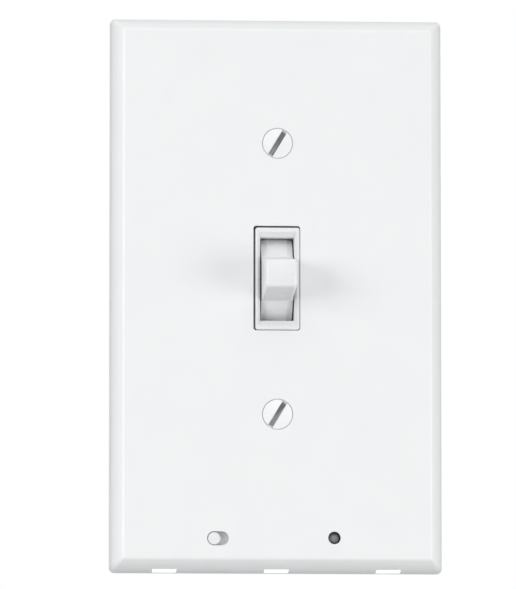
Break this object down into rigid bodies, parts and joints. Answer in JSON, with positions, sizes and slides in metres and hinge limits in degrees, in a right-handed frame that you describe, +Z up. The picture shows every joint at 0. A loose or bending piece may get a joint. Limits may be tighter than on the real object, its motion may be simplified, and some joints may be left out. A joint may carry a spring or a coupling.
{
  "type": "toggle wall switch",
  "caption": "Single-pole toggle wall switch with a white cover plate that holds a night light, a mode slide and a light sensor.",
  "frame": {"origin": "midway between the two box screws, in the plane of the wall (the plate's rim and the back of the mounting strap)", "axes": "+X right as seen from the front, +Y into the wall, +Z up; the plate faces -Y"},
  "size_m": [0.074, 0.0458, 0.1236],
  "materials": {
    "plate_white": "moulded, satin gloss",
    "lever_white": "moulded, polished",
    "housing_white": "moulded, satin",
    "housing_grey": "moulded thermoset, fine texture",
    "cover_white": "moulded, matte",
    "diffuser": "frosted, light passing",
    "sensor_clear": "clear epoxy over a dark die",
    "screw_white": "painted oval head",
    "zinc_steel": "zinc-plated",
    "brass": "drawn brass",
    "ground_green": "green chromate",
    "silver_alloy": "silver alloy",
    "board_green": "solder mask over glass-epoxy",
    "chip_black": "moulded epoxy",
    "led_white": "white package, yellow phosphor",
    "switch_black": "moulded nylon",
    "resistor_dark": "alumina with a dark film",
    "capacitor_tan": "fired ceramic",
    "bumper_rubber": "moulded rubber",
    "retainer_fibre": "pressed fibre"
  },
  "bodies": {
    "switch_body": {"face_plate": "plate_white", "light_lens_left": "diffuser", "light_lens_middle": "diffuser", "light_lens_right": "diffuser", "light_diode_left": "led_white", "light_diode_middle": "led_white", "light_diode_right": "led_white", "circuit_board": "board_green", "mode_switch_body": "switch_black", "light_sensor": "sensor_clear", "bridge_rectifier": "chip_black", "control_chip": "chip_black", "capacitor": "capacitor_tan", "resistor_1": "resistor_dark", "resistor_2": "resistor_dark", "resistor_3": "resistor_dark", "rear_cover": "cover_white", "prong_arm_upper": "cover_white", "prong_arm_lower": "cover_white", "prong_contact_upper": "brass", "prong_contact_lower": "brass", "mounting_strap": "zinc_steel", "front_housing": "housing_white", "rear_housing": "housing_grey", "strap_rivets": "zinc_steel", "fixed_contact": "silver_alloy", "fixed_contact_plate": "brass", "arm_terminal_plate": "brass", "ground_screw": "ground_green", "cover_screw_left": "zinc_steel", "cover_screw_right": "zinc_steel", "plate_screw_upper": "screw_white", "box_screw_upper": "zinc_steel", "screw_retainer_upper": "retainer_fibre", "wire_clamp_upper": "zinc_steel", "stop_bumper_upper": "bumper_rubber", "terminal_screw_upper": "brass", "plate_screw_lower": "screw_white", "box_screw_lower": "zinc_steel", "screw_retainer_lower": "retainer_fibre", "wire_clamp_lower": "zinc_steel", "stop_bumper_lower": "bumper_rubber", "terminal_screw_lower": "brass"},
    "toggle": {"toggle_lever": "lever_white"},
    "contact": {"contact_arm": "brass", "moving_contact": "silver_alloy"},
    "mode_knob": {"mode_switch_knob": "lever_white"}
  },
  "joints": [
    {"name": "toggle_tilt", "type": "hinge", "parent": "switch_body", "child": "toggle", "pos_m": [0, 0.0045, 0], "axis": [-1, 0, 0], "range_deg": [-18, 18]},
    {"name": "contact_swing", "type": "hinge", "parent": "switch_body", "child": "contact", "pos_m": [0, 0.0146, -0.013], "axis": [1, 0, 0], "range_deg": [-2.7, 2.7]},
    {"name": "mode_slide", "type": "slide", "parent": "switch_body", "child": "mode_knob", "axis": [1, 0, 0], "range_m": [0, 0.0017]}
  ],
  "couplings": [
    {"joint": "contact_swing", "follows": "toggle_tilt", "ratio": 0.147}
  ]
}
